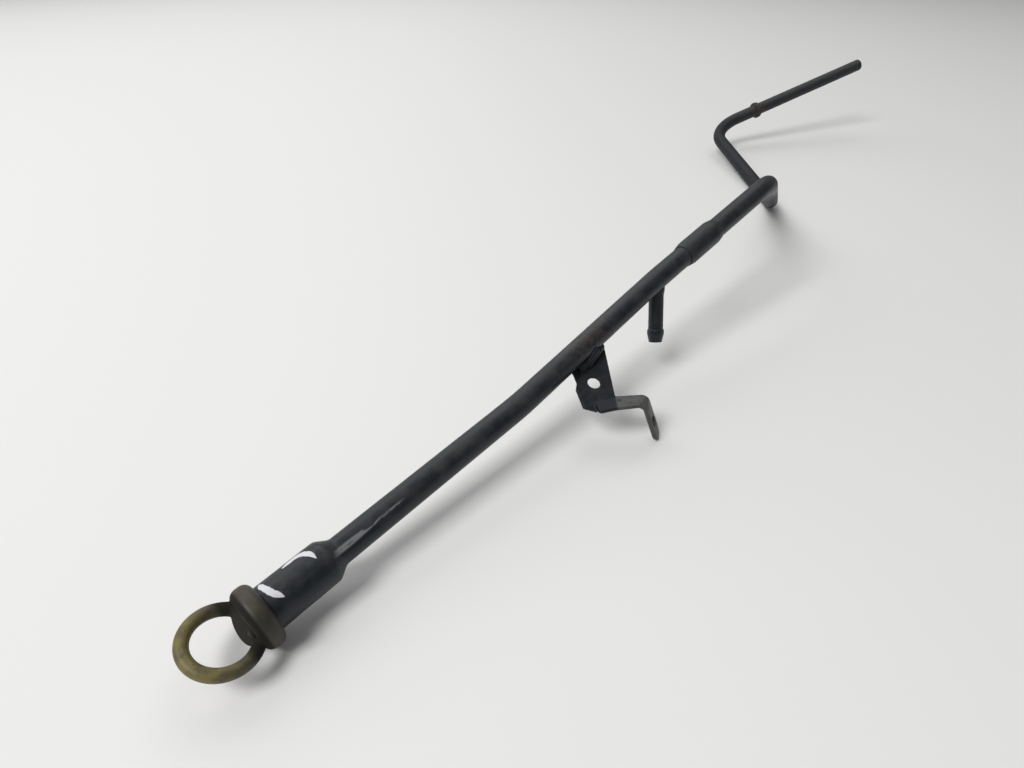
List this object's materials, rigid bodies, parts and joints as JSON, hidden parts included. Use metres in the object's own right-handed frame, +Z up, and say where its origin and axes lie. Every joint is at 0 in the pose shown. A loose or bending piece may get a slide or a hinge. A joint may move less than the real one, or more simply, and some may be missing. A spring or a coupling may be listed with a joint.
{
  "type": "engine oil dipstick with guide tube",
  "caption": "Bent steel dipstick guide tube with cup, breather nipple, welded bracket and beaded lower end, holding a pull-ring dipstick sealed in its mouth.",
  "frame": {"origin": "on the surface that the part lies on, under the middle of its bounding box", "axes": "+Z up, +Y from the pull ring towards the far bend, along the longest extent"},
  "size_m": [0.5192, 0.7139, 0.0825],
  "materials": {
    "satin_black_paint": "worn satin black paint",
    "olive_plastic": "aged olive-brown moulding",
    "seal_rubber": "black sealing rubber",
    "bright_steel": "oiled bright steel"
  },
  "bodies": {
    "guide_tube": {"upper_tube": "satin_black_paint", "joining_sleeve": "satin_black_paint", "lower_tube": "satin_black_paint", "hose_nipple": "satin_black_paint", "mounting_bracket": "satin_black_paint"},
    "dipstick": {"pull_handle": "olive_plastic", "outer_seal_ring": "seal_rubber", "inner_seal_ring": "seal_rubber", "cable_ferrule": "bright_steel", "gauge_cable": "bright_steel"}
  },
  "joints": [
    {"name": "dipstick_pull", "type": "slide", "parent": "guide_tube", "child": "dipstick", "axis": [-0.6788, -0.725, -0.1165], "range_m": [0, 0.03], "deforming": ["gauge_cable"]}
  ]
}
